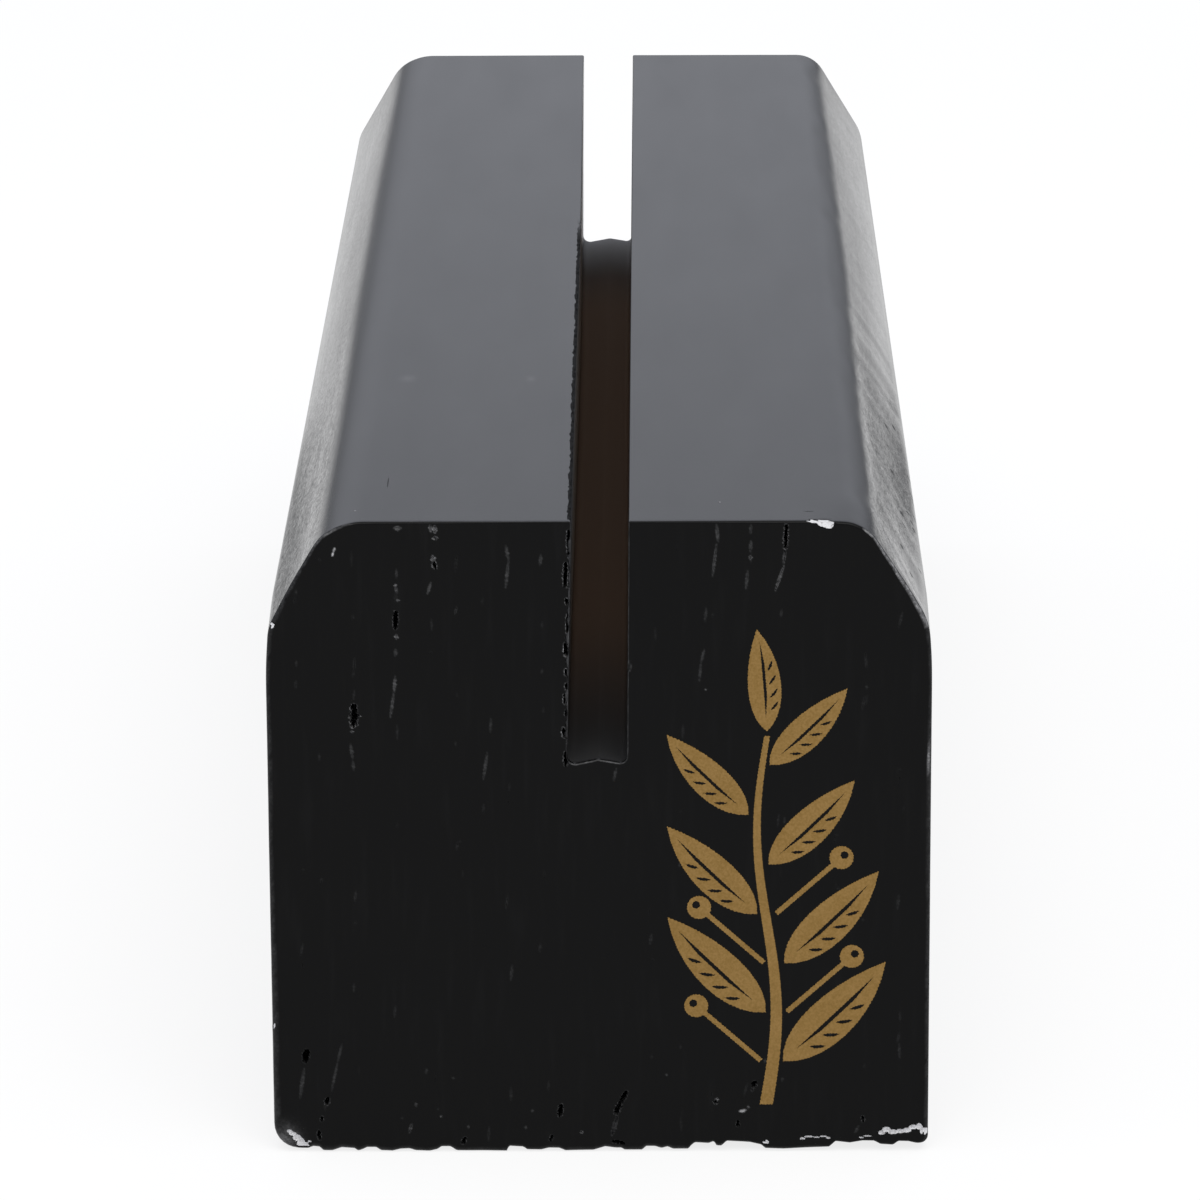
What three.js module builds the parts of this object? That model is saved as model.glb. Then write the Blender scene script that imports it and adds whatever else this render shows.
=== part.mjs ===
// Card holder block: a solid wooden bar painted black, with two chamfered upper edges, one
// saw slot along the whole top that grips a card or thin panel, and a gold print on the front
// end. The print is a leafy sprig, made of islands of ink that don't touch each other.
// Millimetres. +X is right, +Y runs to the back, +Z is up. The origin is the middle of the
// underside, and the front end faces -Y.
import * as THREE from 'three';

// The bar
const BAR_WIDTH = 40;
const BAR_HEIGHT = 40;
const BAR_LENGTH = 140;
const FOOT_EDGE_RADIUS = 1.5;
const END_EASE = 0.3; // sanded edge round each end face

// Chamfers of the two upper long edges, and how far sanding rounds their corners
const CHAMFER_WIDTH = 4.2;
const CHAMFER_HEIGHT = 6.6;
const CHAMFER_TOP_RADIUS = 1.6;
const CHAMFER_SIDE_RADIUS = 1.8;

// The saw slot, whose blade leaves a low ridge along the middle of the floor
const SLOT_WIDTH = 3.6;
const SLOT_DEPTH = 14.9;
const SLOT_RIDGE = 0.3;
const SLOT_RIDGE_RADIUS = 0.8;
const SLOT_CORNER_RADIUS = 0.5;

// The print, in the room between the slot, the right side, the foot and the chamfer
const INK_THICKNESS = 0.05;
const INK_GAP = 0.3; // bare strip between two islands of ink
const PRINT_SLOT_MARGIN = 0.6;
const PRINT_SIDE_MARGIN = 2.2;
const PRINT_FOOT_MARGIN = 3.1;
const PRINT_TOP_MARGIN = 0.1;

// The sprig's stem
const STEM_FOOT_WIDTH = 0.8;
const STEM_TIP_WIDTH = 0.34;
const STEM_SWAY = 0.6;

// Its leaves, with a midrib and veins that are slits in the ink
const LEAF_COUNT = 7;
const LEAF_LEAN = 50; // degrees from upright
const LEAF_FILL = 0.58; // width of the lowest leaf over the spacing of the leaves on its side
const LEAF_BEND = 0.1; // how far a leaf's tip rises, over its length
const LEAF_TAPER = 0.3; // how much smaller the leaf at the top of the stem is than the lowest
const VEIN_COUNT = 4;
const VEIN_WIDTH = 0.024; // this and the midrib's width are over the leaf's length
const MIDRIB_WIDTH = 0.028;

// Its berries, on long stalks, each with a bare spot for the shine
const BERRY_COUNT = 4;
const BERRY_LEAN = 48; // degrees from upright
const BERRY_FILL = 0.3; // width of a berry over the spacing of the leaves on its side
const BERRY_REACH = 0.66; // stalk and berry over the lowest leaf's length
const BERRY_STALK_WIDTH = 0.3;
const BERRY_SHINE = 1 / 3; // width of the bare spot over the berry's

const ARC_STEPS = 6;
const CURVE_STEPS = 10;
const BELLY_TO_WIDTH = 2 / 3; // how far a leaf edge's control points stand out, over the leaf's width

const blackPaint = new THREE.MeshStandardMaterial({
  name: 'black_painted_wood',
  color: 0x1a1a1b,
  roughness: 0.4,
  metalness: 0,
});

const goldInk = new THREE.MeshStandardMaterial({
  name: 'gold_ink',
  color: 0x91733e,
  roughness: 0.5,
  metalness: 0.2,
});

const radians = THREE.MathUtils.degToRad;

// Draws a closed outline whose corners are {x, y, radius}, each rounded by its radius.
function roundedShape(corners) {
  const shape = new THREE.Shape();
  corners.forEach((corner, i) => {
    const here = new THREE.Vector2(corner.x, corner.y);
    if (!corner.radius) {
      shape[i ? 'lineTo' : 'moveTo'](here.x, here.y);
      return;
    }
    const before = corners[(i + corners.length - 1) % corners.length];
    const after = corners[(i + 1) % corners.length];
    const back = new THREE.Vector2(before.x, before.y).sub(here).normalize();
    const ahead = new THREE.Vector2(after.x, after.y).sub(here).normalize();
    const halfAngle = Math.acos(back.dot(ahead)) / 2;
    const bisector = back.clone().add(ahead).normalize();
    const centre = here.clone().addScaledVector(bisector, corner.radius / Math.sin(halfAngle));
    const reach = corner.radius / Math.tan(halfAngle);
    const start = here.clone().addScaledVector(back, reach).sub(centre);
    const end = here.clone().addScaledVector(ahead, reach).sub(centre);
    const turn = THREE.MathUtils.euclideanModulo(end.angle() - start.angle(), 2 * Math.PI);
    const sweep = turn > Math.PI ? turn - 2 * Math.PI : turn;
    for (let step = 0; step <= ARC_STEPS; step += 1) {
      const angle = start.angle() + (sweep * step) / ARC_STEPS;
      const x = centre.x + corner.radius * Math.cos(angle);
      const y = centre.y + corner.radius * Math.sin(angle);
      shape[i || step ? 'lineTo' : 'moveTo'](x, y);
    }
  });
  return shape;
}

// The bar's cross-section, seen from the front end.
function barSection() {
  const side = BAR_WIDTH / 2;
  const shoulder = BAR_HEIGHT - CHAMFER_HEIGHT;
  const crown = side - CHAMFER_WIDTH;
  const wall = SLOT_WIDTH / 2;
  const floor = BAR_HEIGHT - SLOT_DEPTH;
  return roundedShape([
    { x: -side, y: 0, radius: FOOT_EDGE_RADIUS },
    { x: side, y: 0, radius: FOOT_EDGE_RADIUS },
    { x: side, y: shoulder, radius: CHAMFER_SIDE_RADIUS },
    { x: crown, y: BAR_HEIGHT, radius: CHAMFER_TOP_RADIUS },
    { x: wall, y: BAR_HEIGHT },
    { x: wall, y: floor, radius: SLOT_CORNER_RADIUS },
    { x: 0, y: floor + SLOT_RIDGE, radius: SLOT_RIDGE_RADIUS },
    { x: -wall, y: floor, radius: SLOT_CORNER_RADIUS },
    { x: -wall, y: BAR_HEIGHT },
    { x: -crown, y: BAR_HEIGHT, radius: CHAMFER_TOP_RADIUS },
    { x: -side, y: shoulder, radius: CHAMFER_SIDE_RADIUS },
  ]);
}

// Stands a drawing up as the front view, so that its y is up and its thickness runs to -Y.
function standUp(geometry) {
  return geometry.rotateX(Math.PI / 2);
}

function makeWoodBlock() {
  const geometry = new THREE.ExtrudeGeometry(barSection(), {
    depth: BAR_LENGTH - 2 * END_EASE,
    bevelThickness: END_EASE,
    bevelSize: END_EASE,
    bevelOffset: -END_EASE,
    bevelSegments: 2,
  });
  const block = new THREE.Mesh(standUp(geometry), blackPaint);
  block.name = 'wood_block';
  block.position.y = BAR_LENGTH / 2 - END_EASE;
  return block;
}

// The room that the print fills on the front end.
const room = {
  left: SLOT_WIDTH / 2 + PRINT_SLOT_MARGIN,
  right: BAR_WIDTH / 2 - PRINT_SIDE_MARGIN,
  low: PRINT_FOOT_MARGIN,
  high: BAR_HEIGHT - CHAMFER_HEIGHT - PRINT_TOP_MARGIN,
};
const roomMiddle = (room.left + room.right) / 2;

// The lowest leaves reach the sides of the room, and the leaf that ends the stem reaches its top.
const leafLean = radians(LEAF_LEAN);
const baseOffset = (STEM_FOOT_WIDTH / 2 + INK_GAP) / Math.sin(leafLean);
const leafReach = (room.right - room.left) / 2 - STEM_SWAY - baseOffset * Math.sin(leafLean);
const leafLength = leafReach / (Math.sin(leafLean) - LEAF_BEND * Math.cos(leafLean));
const topLeafLength = leafLength * (1 - LEAF_TAPER);
const stemTop = room.high - topLeafLength - INK_GAP;

// How far up the stem a side leaf starts.
function leafPlace(i) {
  return (i + 0.7) / (LEAF_COUNT + 0.4);
}

// Across two neighbouring leaves of one side, and what fits in that spacing.
const sideSpacing = (leafPlace(2) - leafPlace(0)) * (stemTop - room.low) * Math.sin(leafLean);
const leafWidth = LEAF_FILL * sideSpacing;
const berryRadius = (BERRY_FILL * sideSpacing) / 2;
const berryStalk = BERRY_REACH * leafLength - 2 * berryRadius;

// The stem's middle line, which sways once to each side between t = 0 and t = 1.
function stemPoint(t) {
  const x = roomMiddle + STEM_SWAY * Math.sin(2 * Math.PI * t);
  return new THREE.Vector2(x, THREE.MathUtils.lerp(room.low, stemTop, t));
}

function stemShape() {
  const left = [];
  const right = [];
  const steps = 3 * CURVE_STEPS;
  for (let i = 0; i <= steps; i += 1) {
    const t = i / steps;
    const half = THREE.MathUtils.lerp(STEM_FOOT_WIDTH, STEM_TIP_WIDTH, t) / 2;
    const point = stemPoint(t);
    left.unshift(new THREE.Vector2(point.x - half, point.y));
    right.push(new THREE.Vector2(point.x + half, point.y));
  }
  return new THREE.Shape([...right, ...left]);
}

// A thin pointed slit between two points, left free of ink. Its middle stands off the straight
// line by the bow.
function slit(from, to, width, bow) {
  const along = to.clone().sub(from);
  const across = new THREE.Vector2(-along.y, along.x).normalize();
  const at = (share, offset) => from.clone().addScaledVector(along, share).addScaledVector(across, offset);
  const low = bow - width / 2;
  const high = bow + width / 2;
  return new THREE.Path([from, at(0.3, low), at(0.7, low), to, at(0.7, high), at(0.3, high)]);
}

// A pointed leaf that starts at the origin along +x and bends upwards on side 1, downwards on
// side -1. Its midrib is a slit, and so are the veins on its shaded half.
function leafShape(length, side) {
  const point = (x, y) => new THREE.Vector2(x * length, y * side);
  const belly = (leafWidth * BELLY_TO_WIDTH * length) / leafLength;
  const rise = length * LEAF_BEND;
  const tip = point(1, rise);
  const foot = point(0, 0);
  const lift = 0.3 * rise;
  const shadedEdge = new THREE.CubicBezierCurve(foot, point(0.2, -belly), point(0.68, lift - belly), tip);
  const litEdge = new THREE.CubicBezierCurve(tip, point(0.6, lift + belly), point(0.14, belly), foot);
  const shape = new THREE.Shape();
  shape.add(shadedEdge);
  shape.add(litEdge);
  const midribBow = -0.14 * rise * side;
  const midribWidth = MIDRIB_WIDTH * length;
  const veinWidth = VEIN_WIDTH * length;
  shape.holes.push(slit(point(0.12, 0.1 * rise), point(0.88, 0.72 * rise), midribWidth, midribBow));
  for (let i = 1; i <= VEIN_COUNT; i += 1) {
    const share = i / (VEIN_COUNT + 1);
    const t = THREE.MathUtils.lerp(0.14, 0.74, share);
    const drop = 0.5 * rise * share - midribWidth / 2 - 1.2 * veinWidth;
    const root = new THREE.Vector2(shadedEdge.getPoint(t).x, side * drop);
    const end = root.clone().lerp(shadedEdge.getPoint(t + 0.13), 0.72);
    shape.holes.push(slit(root, end, veinWidth, (-veinWidth / 5) * side));
  }
  return shape;
}

// A round berry at the end of its stalk, which starts at the origin along +x.
function berryShape() {
  const half = BERRY_STALK_WIDTH / 2;
  const meeting = Math.PI - Math.asin(half / berryRadius);
  const centre = berryStalk + berryRadius;
  const shape = new THREE.Shape();
  shape.moveTo(0, half);
  shape.lineTo(0, -half);
  shape.absarc(centre, 0, berryRadius, -meeting, meeting);
  const shine = new THREE.Path();
  shine.absarc(centre + berryRadius / 3, 0, BERRY_SHINE * berryRadius, 0, 2 * Math.PI);
  shape.holes.push(shine);
  return shape;
}

// An island of ink on the front end, with the shape's outline turned by an angle and placed in
// the front view.
function inkIsland(name, shape, place = new THREE.Vector2(), angle = 0) {
  const film = new THREE.ExtrudeGeometry(shape, {
    depth: INK_THICKNESS,
    bevelEnabled: false,
    curveSegments: CURVE_STEPS,
  });
  film.rotateZ(angle);
  film.translate(place.x, place.y, 0);
  const island = new THREE.Mesh(standUp(film), goldInk);
  island.name = name;
  island.position.y = -BAR_LENGTH / 2;
  return island;
}

// An island that leans out from the stem, to side 1, right, or to side -1, left, with a bare
// strip between them.
function sideIsland(name, shape, t, degrees, side) {
  const angle = Math.PI / 2 - side * radians(degrees);
  const stemHalf = THREE.MathUtils.lerp(STEM_FOOT_WIDTH, STEM_TIP_WIDTH, t) / 2;
  const offset = (stemHalf + INK_GAP) / Math.sin(radians(degrees));
  const out = new THREE.Vector2(Math.cos(angle), Math.sin(angle));
  return inkIsland(name, shape, stemPoint(t).addScaledVector(out, offset), angle);
}

// Side leaves alternate along the stem, and one more ends it.
function makeLeaves() {
  const leaves = [];
  for (let i = 0; i < LEAF_COUNT; i += 1) {
    const t = leafPlace(i);
    const side = i % 2 ? -1 : 1;
    const shape = leafShape(leafLength * (1 - LEAF_TAPER * t), side);
    leaves.push(sideIsland(`print_leaf_${i + 1}`, shape, t, LEAF_LEAN, side));
  }
  const topLeaf = leafShape(topLeafLength, 1);
  const topPlace = stemPoint(1).add(new THREE.Vector2(0, INK_GAP));
  leaves.push(inkIsland('print_top_leaf', topLeaf, topPlace, Math.PI / 2));
  return leaves;
}

// A berry faces each of the lower leaves from across the stem.
function makeBerries() {
  return Array.from({ length: BERRY_COUNT }, (_, i) => {
    const side = i % 2 ? 1 : -1;
    return sideIsland(`print_berry_${i + 1}`, berryShape(), leafPlace(i), BERRY_LEAN, side);
  });
}

const cardHolder = new THREE.Group();
cardHolder.name = 'card_holder_block';
cardHolder.add(makeWoodBlock(), inkIsland('print_stem', stemShape()), ...makeLeaves(), ...makeBerries());

export default cardHolder;
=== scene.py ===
from math import acos, atan2, ceil, cos, pi, radians, sin, tan

import bpy
import numpy as np
from mathutils import Matrix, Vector
from mathutils.geometry import delaunay_2d_cdt


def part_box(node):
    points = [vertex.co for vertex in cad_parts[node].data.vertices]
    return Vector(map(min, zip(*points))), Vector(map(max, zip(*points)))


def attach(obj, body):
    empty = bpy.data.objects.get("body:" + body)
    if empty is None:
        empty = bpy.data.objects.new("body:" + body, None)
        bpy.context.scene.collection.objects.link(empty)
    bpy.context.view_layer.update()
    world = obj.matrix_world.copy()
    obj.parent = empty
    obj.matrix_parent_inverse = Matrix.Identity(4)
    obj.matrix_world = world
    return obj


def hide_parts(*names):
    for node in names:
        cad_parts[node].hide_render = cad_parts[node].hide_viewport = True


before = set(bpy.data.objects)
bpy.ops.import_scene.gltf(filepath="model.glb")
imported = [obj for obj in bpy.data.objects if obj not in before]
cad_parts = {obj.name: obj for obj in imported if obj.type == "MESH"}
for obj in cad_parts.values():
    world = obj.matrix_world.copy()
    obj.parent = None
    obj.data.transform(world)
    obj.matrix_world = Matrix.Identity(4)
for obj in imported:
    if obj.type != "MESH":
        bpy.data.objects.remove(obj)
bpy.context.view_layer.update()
MM = 0.001


# The bar
#
# One length of hardwood, planed square. Its upper long edges are cut to a slope, and one saw cut
# runs along the whole top. Sanding by hand rounded its corners, the left ones more than the right
# ones. Sizes are in millimetres.
bar_low, bar_high = (np.array(corner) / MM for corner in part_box("wood_block"))
FRONT, BACK = bar_low[1], bar_high[1]
# The corners of the section, anticlockwise as seen from the front: x, z, radius, and how far the
# end's edge is eased there. Then, for the run to the next corner, the spacing of its points and how
# often the spacing is halved towards both ends.
CORNERS = [
    (-20, 0, 1.8, 0.45, 1.6, 4),
    (20, 0, 0.9, 0.3, 1.5, 2),
    (20, 33.6, 3.6, 0.3, 0.45, 3),
    (16.1, 40, 2.4, 0.14, 1, 2),
    (1.81, 40, 0.12, 0.08, 1.2, 2),
    (1.67, 24.85, 0.4, 0.1, 0.6, 1),
    (-0.05, 25.15, 0.8, 0.1, 0.6, 1),
    (-1.95, 24.75, 0.5, 0.1, 0.8, 3),
    (-1.63, 40, 0.12, 0.08, 0.8, 3),
    (-14.6, 40, 4.0, 0.12, 0.4, 2),
    (-16.5, 39.38, 3.1, 0.16, 0.45, 2),
    (-20, 33.4, 2.6, 0.3, 1.5, 2),
]
RIGHT_FOOT, RIGHT_SHOULDER, TOP_RIGHT, SLOT_RIGHT = 1, 2, 3, 4
SLOT_LEFT, LEFT_BEND, LEFT_SHOULDER = 8, 10, 11
ARC_POINTS = 121  # of each corner, to measure along
ARC_STEPS = 8  # of each corner in the mesh
ROW_GAP = 1.0
HALVED_ROWS = 4.5  # how many rows at each end every halving reaches
TORN_WIDTH = 0.6  # of the strip with close points at the slot's left upper edge
TORN_LEVEL = 2
EDGE_ROOM = 0.5  # from an end face to the first row of the long faces
EDGE_STEPS = 3
GUARD = 0.08  # a flat strip beside each rounding keeps the shading of the flat face even
WAVES = 7

rng = np.random.default_rng(11)


def unit(vector):
    return vector / np.linalg.norm(vector)


def waver(at, longest, shortest):
    """A smooth random line, mostly between -1 and 1, made of waves between two lengths."""
    lengths = np.geomspace(longest, shortest, WAVES)
    shifts = rng.uniform(0, 2 * pi, WAVES)
    waves = np.sin(2 * pi * np.asarray(at)[..., None] / lengths + shifts)
    return waves @ lengths**0.5 / (lengths**0.5).sum() * 1.6


def fade(values, start, end):
    """0 up to start, 1 from end, and smooth between them."""
    share = np.clip((values - start) / (end - start), 0, 1)
    return share * share * (3 - 2 * share)


def drawn(corners):
    """Points, outward normals and edge easing round the section, with an arc at each corner."""
    points, normals, eases = [], [], []
    for i, (x, z, radius, ease, _, _) in enumerate(corners):
        here = np.array([x, z], float)
        back = unit(np.array(corners[i - 1][:2]) - here)
        ahead = unit(np.array(corners[(i + 1) % len(corners)][:2]) - here)
        half = acos(back @ ahead) / 2
        middle = here + unit(back + ahead) * radius / sin(half)
        spoke = here + back * radius / tan(half) - middle
        way = 1 if back[1] * ahead[0] > back[0] * ahead[1] else -1
        angles = atan2(spoke[1], spoke[0]) + np.linspace(0, way * (pi - 2 * half), ARC_POINTS)
        spokes = np.column_stack([np.cos(angles), np.sin(angles)])
        points.append(middle + radius * spokes)
        normals.append(way * spokes)
        eases.append(np.full(ARC_POINTS, ease))
    return [np.concatenate([*rows, rows[0][:1]]) for rows in (points, normals, eases)]


ring_points, ring_normals, ring_eases = drawn(CORNERS)
steps = np.linalg.norm(np.diff(ring_points, axis=0), axis=1)
girth = np.concatenate([[0], np.cumsum(steps)])
arc_starts = girth[:-1:ARC_POINTS]
arc_ends = girth[ARC_POINTS - 1 :: ARC_POINTS]
run_ends = np.append(arc_starts[1:], girth[-1])


def on_section(s):
    """Points and outward normals at distances s round the section."""
    values = [np.interp(s, girth, row) for row in (*ring_points.T, *ring_normals.T)]
    return np.column_stack(values[:2]), np.column_stack(values[2:])


def rows(level):
    count = round((BACK - FRONT - 2 * EDGE_ROOM) / ROW_GAP) * 2**level
    return np.linspace(FRONT + EDGE_ROOM, BACK - EDGE_ROOM, count + 1)


def crossed(columns, lines):
    return np.stack(np.meshgrid(columns, lines), -1).reshape(-1, 2)


# The long faces are netted flat, as (distance round the section, y), closer towards the ends and
# along the slot's left upper edge.
net = []
torn_at = (arc_starts[SLOT_LEFT] + arc_ends[SLOT_LEFT]) / 2
for i, (*_, gap, levels) in enumerate(CORNERS):
    arc = np.linspace(arc_starts[i], arc_ends[i], ARC_STEPS + 1)
    guards = [arc_ends[i] + GUARD, run_ends[i] - GUARD]
    for level in range(levels + 1):
        count = ceil((run_ends[i] - arc_ends[i]) / gap) * 2**level
        columns = np.concatenate([arc, guards, np.linspace(arc_ends[i], run_ends[i], count + 1)])
        lines = rows(level)
        from_end = np.minimum(lines - lines[0], lines[-1] - lines)
        close = from_end <= HALVED_ROWS * ROW_GAP / 2**level
        net.append(crossed(columns, lines[close] if level else lines))
    net.append(crossed(columns[abs(columns - torn_at) < TORN_WIDTH], rows(TORN_LEVEL)))
net = np.unique(np.concatenate(net).round(4), axis=0)


def netted(spots, edges=(), rim=()):
    """Triangles between spots on a plane, kept inside a rim if there is one."""
    rims = [list(rim)] if len(rim) else []
    found = delaunay_2d_cdt(spots.tolist(), list(edges), rims, 1 if rims else 0, 1e-6)
    source = np.array([came[0] for came in found[3]])
    return source[np.array(found[2])]


fixed = []
for i in range(len(CORNERS)):
    for column in np.linspace(arc_starts[i], arc_ends[i], ARC_STEPS + 1).round(4):
        on_it = np.flatnonzero(net[:, 0] == column)
        fixed += zip(on_it[:-1].tolist(), on_it[1:].tolist())
section, outward = on_section(net[:, 0])
seam = np.flatnonzero(net[:, 0] == net[-1, 0])
joined = np.arange(len(net))
joined[seam] = np.arange(len(seam))
points = [np.column_stack([section[:, 0], net[:, 1], section[:, 1]])]
triangles = [joined[netted(net, fixed)[:, ::-1]]]
long_count = len(net)


# The bar's open grain
#
# Growth rings stand upright in the ends, and each shows as a row of open pores that paint only
# lines. A few are deep voids, and on the front end their paint has a raised lip.

# Each pore is x and z of both its ends, its half width, its depth, and how pale its lip is, which is
# partly wear and partly a painted glint.
FRONT_PORES = [
    (-14.72, 28.57, -14.73, 28.14, 0.2, 1.3, 0.2),
    (-14.73, 28.1, -14.69, 27.7, 0.26, 1.3, 0.2),
    (-14.69, 27.6, -14.8, 27.35, 0.2, 0.9, 0.3),
    (-14.86, 27.0, -14.85, 26.9, 0.08, 0.05, 0.25),
    (-14.96, 26.18, -14.84, 25.24, 0.07, 0.04, 0.08),
    (-14.84, 25.1, -14.78, 24.51, 0.06, 0.04, 0.08),
    (-12.17, 39.63, -11.76, 39.63, 0.09, 0.08, 0.3),
    (-12.06, 37.06, -12.07, 36.55, 0.05, 0.03, 0.07),
    (-12.14, 36.12, -12.12, 36.05, 0.06, 0.05, 0.6),
    (-12.12, 36.0, -12.05, 35.6, 0.05, 0.06, 0.2),
    (-12.02, 35.2, -12.02, 35.1, 0.08, 0.06, 0.3),
    (-12.12, 34.4, -12.17, 33.45, 0.14, 1.0, 0.12),
    (-12.11, 33.0, -12.11, 32.75, 0.09, 0.06, 0.35),
    (-12.16, 32.1, -12.19, 31.67, 0.08, 0.04, 0.08),
    (-12.21, 30.4, -12.3, 29.4, 0.06, 0.06, 0.2),
    (-12.3, 29.4, -12.54, 27.84, 0.05, 0.05, 0.14),
    (-10.01, 39.79, -9.98, 39.4, 0.08, 0.12, 0.35),
    (-9.74, 39.75, -9.74, 39.34, 0.1, 0.2, 0.55),
    (-9.75, 39.1, -9.7, 38.91, 0.14, 0.25, 0.5),
    (-9.88, 37.91, -9.82, 37.5, 0.1, 0.2, 0.5),
    (-9.8, 37.45, -9.76, 37.19, 0.12, 0.4, 0.3),
    (-10.0, 36.26, -10.22, 35.55, 0.05, 0.04, 0.15),
    (-5.51, 38.54, -5.35, 37.61, 0.07, 0.04, 0.1),
    (-5.35, 37.61, -5.55, 35.9, 0.06, 0.05, 0.12),
    (-3.42, 37.97, -3.48, 37.32, 0.07, 0.05, 0.1),
    (-6.49, 27.76, -6.54, 26.89, 0.05, 0.03, 0.06),
    (-6.74, 25.59, -6.98, 23.91, 0.06, 0.05, 0.1),
    (7.06, 39.8, 7.15, 38.73, 0.07, 0.05, 0.14),
    (7.06, 38.59, 6.82, 36.59, 0.05, 0.06, 0.14),
    (9.12, 39.8, 9.08, 39.22, 0.06, 0.04, 0.07),
    (9.12, 38.8, 9.08, 38.1, 0.07, 0.05, 0.1),
    (9.08, 37.85, 9.08, 37.65, 0.09, 0.1, 0.28),
    (8.92, 36.94, 8.81, 35.8, 0.06, 0.04, 0.1),
    (11.22, 39.72, 11.16, 38.36, 0.11, 0.7, 0.2),
    (11.16, 38.22, 11.05, 37.36, 0.05, 0.12, 0.2),
    (11.08, 37.25, 10.57, 35.69, 0.05, 0.08, 0.26),
    (6.44, 34.65, 6.37, 33.79, 0.06, 0.03, 0.05),
    (6.33, 32.04, 6.12, 31.2, 0.05, 0.03, 0.09),
    (6.12, 31.2, 6.03, 30.05, 0.05, 0.03, 0.07),
    (1.03, 24.6, 0.86, 23.83, 0.05, 0.04, 0.08),
    (-17.91, 6.57, -18.02, 5.95, 0.19, 0.9, 0.05),
    (-18.08, 5.46, -18.37, 3.55, 0.08, 0.04, 0.08),
    (-15.76, 7.02, -16.04, 5.87, 0.05, 0.03, 0.06),
    (-16.04, 5.87, -16.43, 4.04, 0.05, 0.03, 0.07),
    (-16.67, 3.46, -16.75, 3.2, 0.14, 0.6, 0.14),
    (-17.03, 2.3, -17.08, 2.09, 0.08, 0.3, 0.08),
    (-17.25, 1.39, -17.23, 0.8, 0.1, 0.5, 0.1),
    (-11.31, 3.21, -11.28, 3.01, 0.06, 0.05, 0.14),
    (-11.56, 1.88, -11.72, 1.29, 0.06, 0.08, 0.16),
    (-9.78, 2.36, -9.75, 2.33, 0.06, 0.03, 0.3),
    (-8.32, 0.91, -8.45, 0.6, 0.11, 0.5, 0.08),
    (-8.08, 1.74, -8.11, 1.59, 0.05, 0.03, 0.12),
    (-10.61, 5.44, -10.66, 5.11, 0.05, 0.03, 0.06),
    (-8.97, 4.9, -9.02, 4.76, 0.05, 0.03, 0.06),
    (-4.16, 2.78, -4.19, 2.61, 0.06, 0.04, 0.07),
    (-4.59, 1.7, -4.6, 1.53, 0.05, 0.03, 0.1),
    (-2.42, 3.03, -2.52, 2.4, 0.14, 0.9, 0.12),
    (-2.99, 1.03, -3.09, 0.7, 0.08, 0.35, 0.1),
    (-1.2, 1.33, -1.15, 1.25, 0.07, 0.2, 0.7),
    (1.56, 3.88, 1.24, 3.27, 0.13, 0.8, 0.06),
    (1.21, 3.19, 0.9, 2.52, 0.15, 0.5, 0.1),
    (1.02, 2.36, 0.66, 1.03, 0.1, 0.12, 0.1),
    (0.76, 0.56, 1.36, 0.53, 0.13, 0.5, 0.05),
    (7.1, 3.48, 7.08, 3.42, 0.08, 0.15, 0.6),
    (7.02, 3.28, 6.99, 3.18, 0.1, 0.4, 0.25),
    (9.41, 4.53, 9.32, 4.25, 0.13, 0.6, 0.08),
    (9.25, 4.09, 9.24, 3.92, 0.08, 0.12, 0.1),
    (8.47, 2.64, 8.85, 2.71, 0.06, 0.04, 1.0),
    (9.02, 2.98, 8.99, 2.84, 0.06, 0.05, 0.2),
    (8.38, 1.93, 8.35, 1.71, 0.1, 0.45, 0.07),
    (15.99, 2.25, 16.02, 2.0, 0.08, 0.3, 0.15),
    (15.75, 1.67, 15.52, 1.17, 0.05, 0.03, 0.08),
    (10.03, 5.99, 10.0, 5.79, 0.07, 0.04, 0.07),
    (3.99, 5.01, 4.05, 5.01, 0.04, 0.02, 0.2),
    (6.41, 29.55, 6.42, 29.52, 0.03, 0.02, 0.6),
    (-15.72, 38.41, -15.81, 38.16, 0.02, 0.01, 1.4),
    (-15.81, 38.16, -15.88, 37.92, 0.02, 0.01, 1.4),
    (-1.77, 39.4, -1.76, 38.0, 0.1, 1.1, 0.25),
    (-1.95, 37.4, -1.98, 36.0, 0.12, 1.1, 0.3),
    (-1.9, 35.2, -1.9, 34.9, 0.08, 0.8, 0.35),
    (-1.84, 34.2, -1.87, 33.1, 0.08, 0.9, 0.25),
    (-2.0, 32.4, -1.98, 31.7, 0.1, 1.0, 0.35),
    (-1.98, 30.8, -1.98, 30.5, 0.07, 0.6, 0.4),
    (-1.96, 29.9, -1.97, 29.6, 0.07, 0.6, 0.3),
    (-2.05, 29.2, -2.06, 28.7, 0.08, 0.8, 0.4),
    (-1.97, 28.2, -1.98, 27.9, 0.07, 0.7, 0.2),
    (-2.14, 27.1, -2.12, 26.6, 0.09, 0.9, 0.35),
    (-1.98, 25.6, -2.02, 24.85, 0.12, 1.0, 0.3),
]
BACK_PORES = [
    (14.6, 24.9, 14.65, 24.2, 0.22, 1.0, 0.15),
    (12.2, 36.8, 12.15, 35.6, 0.08, 0.12, 0.2),
    (9.9, 18.0, 9.8, 17.2, 0.15, 0.5, 0.1),
    (-6.9, 31.0, -7.0, 29.8, 0.06, 0.06, 0.15),
    (-11.0, 12.6, -11.2, 11.8, 0.18, 0.7, 0.15),
    (-9.1, 5.2, -9.0, 4.8, 0.14, 0.4, 0.2),
    (17.9, 9.3, 17.85, 8.6, 0.2, 0.7, 0.1),
    (3.4, 20.1, 3.35, 19.3, 0.06, 0.06, 0.2),
]
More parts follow.
